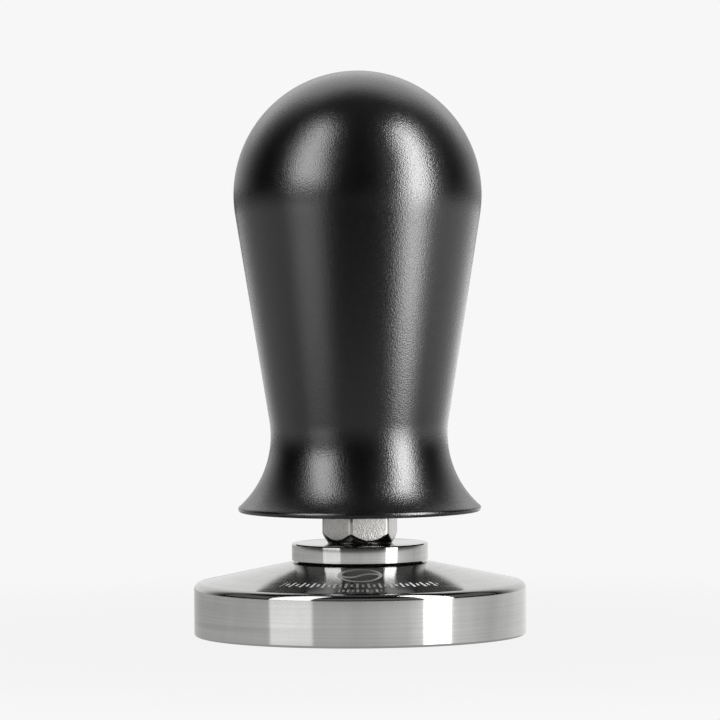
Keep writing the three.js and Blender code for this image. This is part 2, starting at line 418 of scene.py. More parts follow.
@dataclass(frozen=True)
class TurnedSteel(Finish):
    """Stainless steel turned on a lathe: fine rings about the axis, near-mirror along them."""

    slot: Slot = Slot.COLLAR_STEEL
    color: Color = (0.56, 0.56, 0.55)
    tone: float = 0.3
    roughness: float = 0.09
    ring_roughness: float = 0.08
    rings_per_mm: float = 2.0
    rings_around: float = 0.6
    face_share: float = 0.45
    streaks_around: float = 9.0
    streaks_per_mm: float = 0.1
    streak_share: float = 0.3
    relief_mm: float = 0.0002
    anisotropy: float = 0.85

    def rings(self, tree: Tree, place: Place) -> Term:
        """The tool marks: noise that changes quickly across the rings and slowly along them.

        Args:
            tree: The material's tree.
            place: Where the surface is read.

        Returns:
            The marks, from zero to one.
        """
        outwards = place.radius * (self.rings_per_mm * self.face_share)
        upwards = place.z * self.rings_per_mm
        return tree.noise(tree.vector(outwards, place.angle * self.rings_around, upwards), 1.0)

    def look(self, tree: Tree, place: Place) -> Look:
        """Turned rings in the tone, the roughness and the relief, and faint polishing streaks."""
        rings = self.rings(tree, place)
        outwards, upwards = place.radius * self.streaks_per_mm, place.z * self.streaks_per_mm
        streaks = tree.noise(tree.vector(place.angle * self.streaks_around, outwards, upwards), 1.0, 3.0)
        tone = rings * (1.0 - self.streak_share) + streaks * self.streak_share
        color = tree.tint(tone, shade(self.color, 1.0 - self.tone), shade(self.color, 1.0 + self.tone))
        roughness = self.roughness + (rings - 0.5) * self.ring_roughness
        return Look(color, roughness, 1.0, rings, self.relief_mm, self.anisotropy)


@dataclass(frozen=True)
class TickRow:
    """A row of etched ticks. Its half angle is in radians, and the half sizes are each tick's."""

    radius: float
    half_angle: float
    count: int
    half_width: float
    half_height: float
    soft: float = 0.04


@dataclass(frozen=True)
class EtchedBaseSteel(TurnedSteel):
    """The base's turned steel, with a coffee bean and rows of ticks etched on the front of its cone."""

    slot: Slot = Slot.BASE_STEEL
    roughness: float = 0.13
    wall_from: Point = (27.8, 28.6)
    wall_polish: float = 0.03
    cone_from: float = 12.6
    cone_to: float = 27.6
    cone_above: Point = (8.0, 8.6)
    bean_radius: float = 17.6
    bean_half_width: float = 3.9
    bean_half_height: float = 3.9
    crease_waves: float = 3.4
    crease_swing: float = 0.26
    crease_ends: Point = (0.84, 0.8)
    line: float = 0.64
    rows: tuple[TickRow, ...] = (
        TickRow(radius=23.6, half_angle=0.60, count=29, half_width=0.22, half_height=1.25),
        TickRow(radius=26.6, half_angle=0.14, count=9, half_width=0.2, half_height=0.8),
    )
    etched: Color = (0.95, 0.95, 0.93)
    etched_roughness: float = 0.62
    etched_depth: float = 6.0

    def bean(self, tree: Tree, place: Place) -> Term:
        """An oval coffee bean with its curved crease, in line, facing the front.

        Args:
            tree: The material's tree.
            place: Where the surface is read.

        Returns:
            One on the lines, otherwise zero.
        """
        across = place.angle * place.radius / self.bean_half_width
        up = (self.bean_radius - place.radius) / self.bean_half_height
        reach = tree.math("SQRT", across * across + up * up)
        thin = self.line / self.bean_half_height
        outline = tree.band(reach, 1.0 - thin, 1.0, 0.03)
        wave = tree.math("SINE", across * self.crease_waves) * self.crease_swing
        crease = tree.step(abs(up - wave), thin * 0.9, thin * 0.5)
        return tree.math("MAXIMUM", outline, crease * tree.step(reach, *self.crease_ends))

    def ticks(self, tree: Tree, place: Place, row: TickRow) -> Term:
        """A row of graduation ticks along an arc, every second one short.

        Args:
            tree: The material's tree.
            place: Where the surface is read.
            row: Where the row is and how big its ticks are.

        Returns:
            One on the ticks, otherwise zero.
        """
        spacing = 2 * row.half_angle / row.count
        inside = tree.step(abs(place.angle), row.half_angle, row.half_angle - 0.001)
        along = ((place.angle / spacing) % 1.0 - 0.5) * (spacing * row.radius)
        short = ((place.angle / (2 * spacing)) % 1.0) < 0.5
        reach = tree.blend(short, row.half_height, row.half_height * 0.5)
        across = tree.step(abs(along), row.half_width + row.soft, row.half_width - row.soft)
        up = tree.step(abs(place.radius - row.radius) - reach, 2 * row.soft, -2 * row.soft)
        return across * up * inside

    def look(self, tree: Tree, place: Place) -> Look:
        """Turned steel with the frosted etching laid over it, and a smoother upright wall."""
        plain = super().look(tree, place)
        cone = tree.band(place.radius, self.cone_from, self.cone_to, 0.05)
        cone = cone * tree.step(place.z, *self.cone_above)
        marks = self.bean(tree, place)
        for row in self.rows:
            marks = tree.math("MAXIMUM", marks, self.ticks(tree, place, row))
        marks = marks * cone * (1.0 - tree.step(place.y, -1.0, 0.0))
        color = tree.tint(marks, plain.color, self.etched)
        polish = tree.step(place.radius, *self.wall_from) * self.wall_polish
        roughness = tree.blend(marks, plain.roughness - polish, self.etched_roughness)
        height = plain.height - marks * self.etched_depth
        return Look(color, roughness, 1.0, height, self.relief_mm, self.anisotropy)


@dataclass(frozen=True)
class RoughNickel(Finish):
    """Nickel plating on a forged nut: tumbled, grainy flats between smoother turned edges."""

    slot: Slot = Slot.NUT_NICKEL
    color: Color = (0.80, 0.785, 0.76)
    darkest: float = 0.35
    edge_tone: float = 0.75
    pit_tone: float = 0.55
    pit_ratio: float = 1.2
    pit_range: Point = (0.46, 0.30)
    roughness: float = 0.13
    flat_roughness: float = 0.14
    grain_roughness: float = 0.05
    grain_per_mm: float = 4.4
    edge_grain: float = 0.15
    relief_mm: float = 0.085
    corner_radius: float = 6.79
    corner_fade: float = 0.08
    face_radius: float = 5.67
    chamfer_fall: float = 1.5
    chamfer_fade: float = 0.3
    bottom: float = 16.2
    top: float = 22.7

    def look(self, tree: Tree, place: Place) -> Look:
        """Coarse grain with dark pits on the flats, fading out on the corners and the chamfers, which are
        coloured darker as a whole.
        """
        fall = (place.radius - self.face_radius) * self.chamfer_fall
        low = tree.step(place.z - self.bottom - fall, 0.0, self.chamfer_fade)
        high = tree.step(self.top - place.z - fall, 0.0, self.chamfer_fade)
        corner = tree.step(place.radius, self.corner_radius, self.corner_radius - self.corner_fade)
        flat = low * high * corner
        grain = tree.noise(place.vector, self.grain_per_mm, 1.0)
        hollows = tree.noise(place.vector, self.grain_per_mm * self.pit_ratio, 1.0)
        pits = tree.step(hollows, *self.pit_range) * flat
        # The pits, and the corners and the chamfers as a whole, are coloured darker than the flats.
        darker_tone = tree.math("MAXIMUM", pits * self.pit_tone, self.edge_tone - flat * self.edge_tone)
        color = tree.tint(darker_tone, self.color, shade(self.color, self.darkest))
        roughness = self.roughness + flat * self.flat_roughness + grain * self.grain_roughness
        height = grain * tree.blend(flat, self.edge_grain, 1.0)
        return Look(color, roughness, 1.0, height, self.relief_mm)


@dataclass(frozen=True)
class Patchy(Finish):
    """A finish with soft patches of a second colour, and fine marks in its relief."""

    color: Color
    patch: Color
    metallic: float
    roughness: float
    patches_per_mm: float
    marks_per_mm: float
    relief_mm: float
    mark_layers: float
    mark_roughness: float = 0.0
    patch_roughness: float = 0.0

    def look(self, tree: Tree, place: Place) -> Look:
        """The patches in the tone, the marks in the relief, and either in the roughness."""
        patches = tree.noise(place.vector, self.patches_per_mm, 3.0)
        marks = tree.noise(place.vector, self.marks_per_mm, self.mark_layers)
        color = tree.tint(patches, self.color, self.patch)
        roughness = self.roughness + marks * self.mark_roughness + patches * self.patch_roughness
        return Look(color, roughness, self.metallic, marks, self.relief_mm)


@dataclass(frozen=True)
class DrawnWire(Patchy):
    """Drawn spring steel with a little oil, heat colour and drawing marks."""

    slot: Slot = Slot.SPRING_STEEL
    color: Color = (0.40, 0.39, 0.37)
    patch: Color = (0.30, 0.27, 0.23)
    metallic: float = 1.0
    roughness: float = 0.28
    patches_per_mm: float = 0.35
    marks_per_mm: float = 5.0
    relief_mm: float = 0.004
    mark_layers: float = 2.0
    mark_roughness: float = 0.18


@dataclass(frozen=True)
class MouldedRubber(Patchy):
    """Matte black nitrile rubber, with a faint bloom and a fine moulded texture."""

    slot: Slot = Slot.BLACK_RUBBER
    color: Color = (0.014, 0.014, 0.014)
    patch: Color = (0.03, 0.03, 0.03)
    metallic: float = 0.0
    roughness: float = 0.7
    patches_per_mm: float = 0.8
    marks_per_mm: float = 6.0
    relief_mm: float = 0.006
    mark_layers: float = 1.0
    patch_roughness: float = 0.15


@dataclass(frozen=True)
class PlainAluminium(TurnedSteel):
    """Uncoated turned aluminium."""

    slot: Slot = Slot.PLAIN_ALUMINIUM
    color: Color = (0.70, 0.71, 0.72)
    roughness: float = 0.3
    rings_per_mm: float = 2.4
    relief_mm: float = 0.002
    anisotropy: float = 0.4


@dataclass(frozen=True)
class ShaftSteel(TurnedSteel):
    """Ground stainless steel of the plunger, the spring washer and the spring's seat."""

    slot: Slot = Slot.SHAFT_STEEL
    roughness: float = 0.2
    rings_per_mm: float = 3.0


@dataclass(frozen=True)
class SinteredBronze(Finish):
    """Oil-filled bearing bronze with fine pores."""

    slot: Slot = Slot.BRONZE
    color: Color = (0.56, 0.36, 0.16)
    deep: Color = (0.46, 0.29, 0.13)
    pore: Color = (0.12, 0.07, 0.03)
    pores_per_mm: float = 4.5
    pore_range: Point = (0.40, 0.30)
    cloud_per_mm: float = 0.5
    roughness: float = 0.36
    pore_roughness: float = 0.3
    relief_mm: float = 0.01

    def look(self, tree: Tree, place: Place) -> Look:
        """Dark pores in a warm, slightly uneven metal."""
        pores = tree.step(tree.noise(place.vector, self.pores_per_mm), *self.pore_range)
        warm = tree.tint(tree.noise(place.vector, self.cloud_per_mm), self.color, self.deep)
        color = tree.tint(pores, warm, self.pore)
        roughness = self.roughness + pores * self.pore_roughness
        return Look(color, roughness, 1.0, 1.0 - pores, self.relief_mm)


@dataclass(frozen=True)
class TurnedAcetal(TurnedSteel):
    """Ivory acetal, turned, satin."""

    slot: Slot = Slot.ACETAL
    color: Color = (0.80, 0.78, 0.70)
    roughness: float = 0.45
    rings_per_mm: float = 3.0
    relief_mm: float = 0.004

    def look(self, tree: Tree, place: Place) -> Look:
        """Turned rings in a plastic rather than a metal."""
        metal = super().look(tree, place)
        return Look(metal.color, metal.roughness, 0.0, metal.height, self.relief_mm)


class Finishes:
    """Makes each slot's material once."""

    KINDS: tuple[type[Finish], ...] = (
        BlastedAnodising,
        EtchedBaseSteel,
        TurnedSteel,
        RoughNickel,
        ShaftSteel,
        DrawnWire,
        PlainAluminium,
        SinteredBronze,
        MouldedRubber,
        TurnedAcetal,
    )

    def __init__(self) -> None:
        """Builds every finish."""
        finishes = [kind() for kind in self.KINDS]
        self.materials = {finish.slot: finish.material() for finish in finishes}

    def __getitem__(self, slot: Slot) -> bpy.types.Material:
        """The material of a slot."""
        return self.materials[slot]


# Shapes


def arc(r: float, z: float, radius: float, start: float, end: float, steps: int) -> list[Point]:
    """Points round (r, z), in degrees that count from outwards towards up, both ends included."""
    angles = (math.radians(start + (end - start) * step / steps) for step in range(steps + 1))
    return [(r + radius * math.cos(angle), z + radius * math.sin(angle)) for angle in angles]


def between(first: Point, last: Point, steps: int) -> list[Point]:
    """The points that divide a straight line into equal steps, without its ends."""
    return [tuple(a + (b - a) * step / steps for a, b in zip(first, last)) for step in range(1, steps)]


def eased(corners: Sequence[Corner], steps: int = 4) -> list[Point]:
    """An outline with its corners rounded.

    Args:
        corners: Closed outline of (r, z, edge radius) corners, anticlockwise.
        steps: How many steps each rounded corner has.

    Returns:
        The points, the first one repeated at the end.
    """
    points: list[Point] = []
    for number, (r, z, edge) in enumerate(corners):
        here = Vector((r, z))
        before = Vector(corners[number - 1][:2]) - here
        after = Vector(corners[(number + 1) % len(corners)][:2]) - here
        half = before.angle(after) / 2
        # No rounding takes up more than 45 in a hundred of a side.
        reach = min(edge / math.tan(half), 0.45 * before.length, 0.45 * after.length)
        first = here + before.normalized() * reach
        last = here + after.normalized() * reach
        for step in range(steps + 1):
            t = step / steps
            # A conic through both tangent points is the true arc for any corner.
            a, b, c = (1 - t) ** 2, 2 * t * (1 - t) * math.sin(half), t**2
            point = (first * a + here * b + last * c) / (a + b + c)
            points.append((point.x, point.y))
    return points + points[:1]


def span(node: str) -> tuple[float, float, float]:
    """A turned node's radius, lowest height and highest height, in millimetres."""
    low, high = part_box(node)
    return (high[0] - low[0]) / 2 / MM, low[2] / MM, high[2] / MM


def stand(node: str) -> tuple[float, float]:
    """Where a small upright node stands, in millimetres."""
    low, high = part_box(node)
    return (low[0] + high[0]) / 2 / MM, (low[1] + high[1]) / 2 / MM


@dataclass(frozen=True)
class Thread:
    """A helical thread on a cylinder, in millimetres."""

    radius: float = 1000.0
    bottom: float = 0.0
    top: float = 0.0
    pitch: float = 1.0
    depth: float = 0.0

    def rows(self, per_turn: int = 8) -> list[Point]:
        """Outline points that are close enough for the thread to show, going up."""
        count, length = round((self.top - self.bottom) / self.pitch * per_turn), self.top - self.bottom
        return [(self.radius, self.bottom + length * row / count) for row in range(count + 1)]


NO_THREAD = Thread()


class TurningTree:
    """The geometry tree that sweeps an outline round the axis and cuts a thread in it."""

    THREAD = ("Thread radius", "Thread bottom", "Thread top", "Thread pitch", "Thread depth")
    INPUTS = {"Outline": "Geometry", "Sides": "Int", **dict.fromkeys(THREAD, "Float"), "Finish": "Material"}

    def __init__(self) -> None:
        """Builds the tree."""
        self.group = new_group("turning", self.INPUTS)
        tree = Tree(self.group)
        given = tree.add("NodeGroupInput").outputs
        ring = Term(tree, given["Sides"]) + 1.0
        points = tree.add("GeometryNodeAttributeDomainSize", None, {"Geometry": given["Outline"]})
        counts = {"Vertices X": points.outputs["Point Count"], "Vertices Y": ring}
        sheet = tree.add("GeometryNodeMeshGrid", None, counts)
        index = Term(tree, tree.add("GeometryNodeInputIndex").outputs[0])
        row = tree.math("FLOOR", (index + 0.5) / ring)
        turn = (index - row * ring) / Term(tree, given["Sides"])
        settings = {"data_type": "FLOAT_VECTOR", "domain": "POINT"}
        position = tree.add("GeometryNodeInputPosition")
        outline = {"Geometry": given["Outline"], "Value": position, "Index": row}
        radius, _, height = tree.parts(tree.add("GeometryNodeSampleIndex", settings, outline))
        reach = radius - self._thread(tree, given, radius, height, turn)
        placed = tree.around(reach, turn * TURN, height)
        moved = tree.add("GeometryNodeSetPosition", None, {"Geometry": sheet, "Position": placed})
        merged = tree.add("GeometryNodeMergeByDistance", None, {"Geometry": moved, "Distance": MERGE})
        finish_group(tree, merged, given["Finish"])

    @staticmethod
    def _thread(tree: Tree, given: bpy.types.NodeOutputs, radius: Term, height: Term, turn: Term) -> Term:
        """How deep the thread is cut at a point.

        Args:
            tree: The tree.
            given: The group's inputs.
            radius: The outline's radius there.
            height: The height there.
            turn: How far round the axis it is, in turns.

        Returns:
            The depth in metres.
        """
        crest, bottom, top, pitch, depth = (Term(tree, given[name]) for name in TurningTree.THREAD)
        run_in = tree.math("MINIMUM", (height - bottom) / pitch, 1.0)
        run_out = tree.math("MINIMUM", (top - height) / pitch, 1.0)
        inside = tree.math("MAXIMUM", tree.math("MINIMUM", run_in, run_out), 0.0)
        on_thread = abs(radius - crest) < 0.02 * MM
        wave = abs(((height / pitch + (1.0 - turn)) % 1.0) * 2.0 - 1.0)
        return depth * wave * inside * on_thread


class CoilTree:
    """The geometry tree that winds a compression spring with closed, ground ends."""

    SIZES = ("Wire radius", "Coil radius", "Bottom", "Length", "Open turns", "End pitch", "Ground")
    INPUTS = {"Anchor": "Geometry", **dict.fromkeys(SIZES, "Float"), "Points": "Int", "Finish": "Material"}

    def __init__(self) -> None:
        """Builds the tree."""
        self.group = new_group("spring_coil", self.INPUTS)
        tree = Tree(self.group)
        given = tree.add("NodeGroupInput").outputs
        wire, coil, bottom, length, open_turns, end_pitch, ground, points = (
            Term(tree, given[name]) for name in (*self.SIZES, "Points")
        )
        start = bottom + wire - ground
        rise = length - wire * 2.0 + ground * 2.0
        open_pitch = (rise - end_pitch * 2.0) / open_turns
        line = tree.add("GeometryNodeMeshLine", None, {"Count": points})
        index = Term(tree, tree.add("GeometryNodeInputIndex").outputs[0])
        turn = index / (points - 1.0) * (open_turns + 2.0)
        below = tree.math("MINIMUM", turn, 1.0)
        opened = tree.math("MINIMUM", tree.math("MAXIMUM", turn - 1.0, 0.0), open_turns)
        above = tree.math("MAXIMUM", turn - 1.0 - open_turns, 0.0)
        height = start + (below + above) * end_pitch + opened * open_pitch
        placed = tree.around(coil, turn * TURN, height)
        moved = tree.add("GeometryNodeSetPosition", None, {"Geometry": line, "Position": placed})
        path = tree.add("GeometryNodeMeshToCurve", None, {"Mesh": moved})
        section = tree.add("GeometryNodeCurvePrimitiveCircle", None, {"Resolution": 20, "Radius": wire})
        inputs = {"Curve": path, "Profile Curve": section, "Fill Caps": True}
        swept = tree.add("GeometryNodeCurveToMesh", None, inputs)
        x, y, z = tree.parts(tree.add("GeometryNodeInputPosition"))
        flat = tree.math("MINIMUM", tree.math("MAXIMUM", z, bottom), bottom + length)
        inputs = {"Geometry": swept, "Position": tree.vector(x, y, flat)}
        finish_group(tree, tree.add("GeometryNodeSetPosition", None, inputs), given["Finish"])


def new_group(name: str, inputs: dict[str, str]) -> bpy.types.NodeTree:
    """Makes an empty geometry group with named inputs.

    Args:
        name: The group's name.
        inputs: The kind of each input by its name.

    Returns:
        The group.
    """
    group = bpy.data.node_groups.new(name, "GeometryNodeTree")
    for label, kind in inputs.items():
        group.interface.new_socket(label, in_out="INPUT", socket_type=f"NodeSocket{kind}")
    group.interface.new_socket("Result", in_out="OUTPUT", socket_type="NodeSocketGeometry")
    return group


def finish_group(tree: Tree, shape: bpy.types.Node, material: Socket) -> None:
    """Ends a geometry tree: smooth shading, real geometry and its material.

    Args:
        tree: The tree.
        shape: The node that gives the shape.
        material: The material's input.
    """
    smooth = tree.add("GeometryNodeSetShadeSmooth", None, {0: shape})
    real = tree.add("GeometryNodeRealizeInstances", None, {0: smooth})
    dressed = tree.add("GeometryNodeSetMaterial", None, {"Geometry": real, "Material": material})
    tree.add("NodeGroupOutput", None, {0: dressed})


def mesh_of(name: str, work: bmesh.types.BMesh) -> bpy.types.Mesh:
    """Turns a working mesh into a mesh, and frees it.

    Args:
        name: The mesh's name.
        work: The working mesh.

    Returns:
        The mesh.
    """
    mesh = bpy.data.meshes.new(name)
    work.to_mesh(mesh)
    work.free()
    return mesh


def put(name: str, data: bpy.types.ID) -> Object:
    """Puts a mesh, a light or a camera in the scene as an object.

    Args:
        name: The object's name.
        data: What it holds.

    Returns:
        The object, at the origin.
    """
    made = bpy.data.objects.new(name, data)
    bpy.context.scene.collection.objects.link(made)
    return made


class Workshop:
    """Makes the finished meshes: sweeping, winding, bevelling and cutting."""

    SHARP = math.radians(32.0)

    def __init__(self, finishes: Finishes) -> None:
        """Sets the tools up.

        Args:
            finishes: The materials.
        """
        self.finishes = finishes
        self.turning = TurningTree().group
        self.coil = CoilTree().group

    def run(self, start: bpy.types.Mesh, group: bpy.types.NodeTree, values: dict) -> Object:
        """Runs a geometry tree on a mesh and keeps the result as a plain mesh.

        Args:
            start: The mesh that goes in, with the piece's name.
            group: The tree.
            values: The tree's inputs by name.

        Returns:
            The finished object.
        """
        piece = put(start.name, start)
        modifier = piece.modifiers.new(group.name, "NODES")
        modifier.node_group = group
        for item in group.interface.items_tree:
            if item.item_type == "SOCKET" and item.in_out == "INPUT" and item.name in values:
                modifier[item.identifier] = values[item.name]
        return self.keep(piece)

    def keep(self, piece: Object) -> Object:
        """Turns a piece's modifiers into plain mesh, merged, facing out, its sharp edges marked.

        Args:
            piece: An object with modifiers.

        Returns:
            The same object.
        """
        evaluated = piece.evaluated_get(bpy.context.evaluated_depsgraph_get())
        mesh = bpy.data.meshes.new_from_object(evaluated)
        piece.modifiers.clear()
        old, piece.data = piece.data, mesh
        bpy.data.meshes.remove(old)
        mesh.name = piece.name
        work = bmesh.new()
        work.from_mesh(mesh)
        bmesh.ops.remove_doubles(work, verts=work.verts, dist=MERGE)
        bmesh.ops.dissolve_degenerate(work, edges=work.edges, dist=MERGE)
        bmesh.ops.recalc_face_normals(work, faces=work.faces)
        if work.calc_volume(signed=True) < 0:
            bmesh.ops.reverse_faces(work, faces=work.faces)
        work.to_mesh(mesh)
        work.free()
        mesh.polygons.foreach_set("use_smooth", [True] * len(mesh.polygons))
        mesh.set_sharp_from_angle(angle=self.SHARP)
        return piece

    def bar(
        self, flats: int, radius: float, bottom: float, top: float, at: Point = (0, 0), name: str = "cutter"
    ) -> Object:
        """An upright prism, for a hole or a screw.

        Args:
            flats: How many sides it has.
            radius: The radius of its corners.
            bottom: Its lower end.
            top: Its upper end.
            at: Where it stands.
            name: The object's name.

        Returns:
            The prism.
        """
        work = bmesh.new()
        place = Matrix.Translation((at[0] * MM, at[1] * MM, (bottom + top) / 2 * MM))
        ends = {"radius1": radius * MM, "radius2": radius * MM, "depth": (top - bottom) * MM}
        bmesh.ops.create_cone(work, cap_ends=True, segments=flats, matrix=place, **ends)
        return put(name, mesh_of(name, work))

    def bevel(self, piece: Object, width: float, segments: int = 1, over: float = 30.0) -> None:
        """Adds a bevel to a piece's edges.

        Args:
            piece: The piece.
            width: The bevel's width.
            segments: Its steps.
            over: The smallest angle of an edge that gets it, in degrees.
        """
        bevel = piece.modifiers.new("worn edges", "BEVEL")
        bevel.limit_method = "ANGLE"
        bevel.angle_limit = math.radians(over)
        bevel.width = width * MM
        bevel.segments = segments

    def cut(self, piece: Object, *cutters: Object) -> None:
        """Cuts holes in a piece.

        Args:
            piece: What is cut.
            cutters: What is taken away, and then removed.
        """
        for cutter in cutters:
            modifier = piece.modifiers.new("cut", "BOOLEAN")
            modifier.operation = "DIFFERENCE"
            modifier.solver = "EXACT"
            modifier.object = cutter
        self.keep(piece)
        for cutter in cutters:
            bpy.data.objects.remove(cutter)


# Sub-assemblies


@dataclass
class Assembly:
    """Pieces that move together. Its subclasses say which."""

    shop: Workshop
    body: str = ""

    def stand_for(self, piece: Object, node: str, slot: Slot) -> None:
        """Makes a finished piece ride in place of its node.

        Args:
            piece: The finished piece.
            node: The node that it stands for.
            slot: Its material slot. Not used.
        """
        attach(piece, self.body)
        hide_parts(node)
        LOG.info("%s: %d faces, rides on %s", piece.name, len(piece.data.polygons), self.body)

    def turned(
        self,
        node: str,
        outline: Sequence[Point],
        slot: Slot,
        sides: int = 96,
        thread: Thread = NO_THREAD,
        cutters: Sequence[Object] = (),
        made: str = "turned",
    ) -> None:
        """Turns the finished piece of a node on the tamper's axis, and cuts its holes.

        Args:
            node: The node that it stands for.
            outline: Its (r, z) points in millimetres, from axis to axis or closed.
            slot: Its finish.
            sides: Steps round the axis.
            thread: A thread on it.
            cutters: What is cut away.
            made: The last word of its name.
        """
        start = bpy.data.meshes.new(f"{node}_{made}")
        start.from_pydata([(r * MM, 0.0, z * MM) for r, z in outline], [], [])
        values = {"Sides": sides, "Finish": self.shop.finishes[slot]}
        values |= {f"Thread {name}": size * MM for name, size in vars(thread).items()}
        piece = self.shop.run(start, self.shop.turning, values)
        if cutters:
            self.shop.cut(piece, *cutters)
        self.stand_for(piece, node, slot)

    def ring(self, node: str, inner: float, edge: float, slot: Slot, steps: int = 4, **more: object) -> None:
        """A plain ring with rounded edges, the size of its node.

        Args:
            node: The node that it stands for.
            inner: The radius of its hole.
            edge: The radius of its edges.
            slot: Its finish.
            steps: How many steps each edge has.
            more: What else turned() is told.
        """
        outer, bottom, top = span(node)
        corners = [(inner, bottom, edge), (outer, bottom, edge), (outer, top, edge), (inner, top, edge)]
        self.turned(node, eased(corners, steps), slot, **more)


@dataclass
class BaseAssembly(Assembly):
    """The base, its collar, washer and nut, and the plunger that is screwed into it."""

    body: str = "base_assembly"
    shoulder: float = 1.35
    bottom_edge: float = 0.45
    cone_fall: float = 0.2135
    seam: float = 0.4
    seam_edge: float = 0.06
    socket: float = 4.06
    socket_lead: float = 0.5
    socket_floor: float = 4.0
    drill_point: float = 1.6
    washer_bore: float = 4.3
    washer_edge: float = 0.04
    collar_bore: float = 4.15
    collar_edge: float = 0.07
    collar_chamfer: float = 0.2
    collar_crisp: float = 0.02
    nut_flats: float = 12.0
    nut_turn: float = 16.2
    nut_rounding: float = 0.6
    nut_face: float = 5.67
    nut_fall: float = 1.5
    nut_bevel: float = 0.16
    thread_radius: float = 4.0
    thread_pitch: float = 1.25
    thread_depth: float = 0.6
    thread_end: float = 23.4
    thread_relief: float = 3.5
    shank: float = 5.0
    head_height: float = 4.0
    pilot_height: float = 6.0
    plunger_edge: float = 0.5

    def build(self) -> None:
        """Builds the five pieces."""
        self.base()
        self.ring("seat_washer", self.washer_bore, self.washer_edge, Slot.BLACK_RUBBER, sides=160)
        self.collar()
        self.nut()
        self.plunger()

    def base(self) -> None:
        """The tamping base: upright wall, small shoulder, shallow cone, blind threaded socket."""
        radius, _, top = span("tamping_base")
        neck = span("collar_disc")[0] - self.seam
        slope = math.degrees(math.atan(self.cone_fall))
        wall_top = top - (radius - neck) * self.cone_fall
        shoulder_z = wall_top - self.shoulder * math.tan(math.radians(45 - slope / 2))
        shoulder = arc(radius - self.shoulder, shoulder_z, self.shoulder, 0, 90 - slope, 14)
        sole = radius - self.bottom_edge
        outline = [
            (0.0, 0.0),
            *between((0.0, 0.0), (sole, 0.0), 6),
            *arc(sole, self.bottom_edge, self.bottom_edge, -90, 0, 8),
            *shoulder,
            *between(shoulder[-1], (neck, top), 8),
            *arc(neck, top - self.seam_edge, self.seam_edge, 90 - slope, 90, 2),
            (self.socket + self.socket_lead, top),
            (self.socket, top - self.socket_lead),
            (self.socket, self.socket_floor),
            (0.0, self.socket_floor - self.drill_point),
        ]
        self.turned("tamping_base", outline, Slot.BASE_STEEL, 288)

    def collar(self) -> None:
        """The collar disc, with a crisp chamfer at each edge."""
        outer, bottom, top = span("collar_disc")
        bore, edge, chamfer = self.collar_bore, self.collar_edge, self.collar_chamfer
        corners = (
            (bore, bottom),
            (outer - edge, bottom),
            (outer, bottom + edge),
            (outer, top - chamfer),
            (outer - chamfer, top),
            (bore + edge, top),
            (bore, top - edge),
        )
        outline = eased([(*corner, self.collar_crisp) for corner in corners], 3)
        self.turned("collar_disc", outline, Slot.COLLAR_STEEL, 224)

    def hexagon(self) -> list[Point]:
        """The nut's plan, with its corners rounded.

        Returns:
            Pairs of an angle in radians and the distance from the axis there.
        """
        apothem, rounding, sixth = self.nut_flats / 2, self.nut_rounding, math.pi / 6
        center = (apothem - rounding) / math.cos(sixth)
        tangent = math.atan((apothem - rounding) * math.tan(sixth) / apothem)
        plan = []
        for side in range(6):
            middle = math.radians(self.nut_turn + 30 + 60 * side)
            for step in range(15):
                off = tangent * (step / 7 - 1)
                plan.append((middle + off, apothem / math.cos(off)))
            for step in range(1, 8):
                off = (sixth - tangent) * (step / 4 - 1)
                reach = center * math.cos(off) + math.sqrt(rounding**2 - (center * math.sin(off)) ** 2)
                plan.append((middle + sixth + off, reach))
        return plan

    def nut(self) -> None:
        """The hexagonal nut, chamfered at both ends, with worn edges."""
        _, bottom, top = span("lock_nut")
        work = bmesh.new()
        columns = []
        for angle, reach in self.hexagon():
            fall = max(0.0, (reach - self.nut_face) * self.nut_fall)
            lower = [(self.socket, bottom), (self.nut_face, bottom), (reach, bottom + fall)]
            upper = [(reach, top - fall), (self.nut_face, top), (self.socket, top)]
            x, y = math.cos(angle) * MM, math.sin(angle) * MM
            columns.append([work.verts.new((r * x, r * y, z * MM)) for r, z in lower + upper])
        for left, right in zip(columns, columns[1:] + columns[:1]):
            for row in range(len(left)):
                after = (row + 1) % len(left)
                work.faces.new((left[row], right[row], right[after], left[after]))
        piece = put("lock_nut_forged", mesh_of("lock_nut_forged", work))
        piece.data.materials.append(self.shop.finishes[Slot.NUT_NICKEL])
        self.shop.bevel(piece, self.nut_bevel, segments=3, over=24.0)
        self.shop.keep(piece)
        self.stand_for(piece, "lock_nut", Slot.NUT_NICKEL)

    def plunger(self) -> None:
        """The plunger: threaded foot, relief groove, ground shank, head and pilot."""
        head, bottom, top = span("plunger_shaft")
        edge, relief, end, shank = self.plunger_edge, self.thread_relief, self.thread_end, self.shank
        thread = Thread(self.thread_radius, bottom + edge, end, self.thread_pitch, self.thread_depth)
        head_top = top - self.pilot_height
        head_bottom = head_top - self.head_height
        outline = [
            (0.0, bottom),
            (relief, bottom),
            *thread.rows(),
            (relief, end + edge),
            (relief, end + 2 * edge),
            (shank - edge, end + 2 * edge),
            (shank, end + 3 * edge),
            (shank, head_bottom),
            *arc(head - edge, head_bottom + edge, edge, -90, 0, 4),
            *arc(head - edge, head_top - edge, edge, 0, 90, 4),
            (shank, head_top),
            *arc(shank - edge, top - edge, edge, 0, 90, 4),
            (0.0, top),
        ]
        self.turned("plunger_shaft", outline, Slot.SHAFT_STEEL, thread=thread)


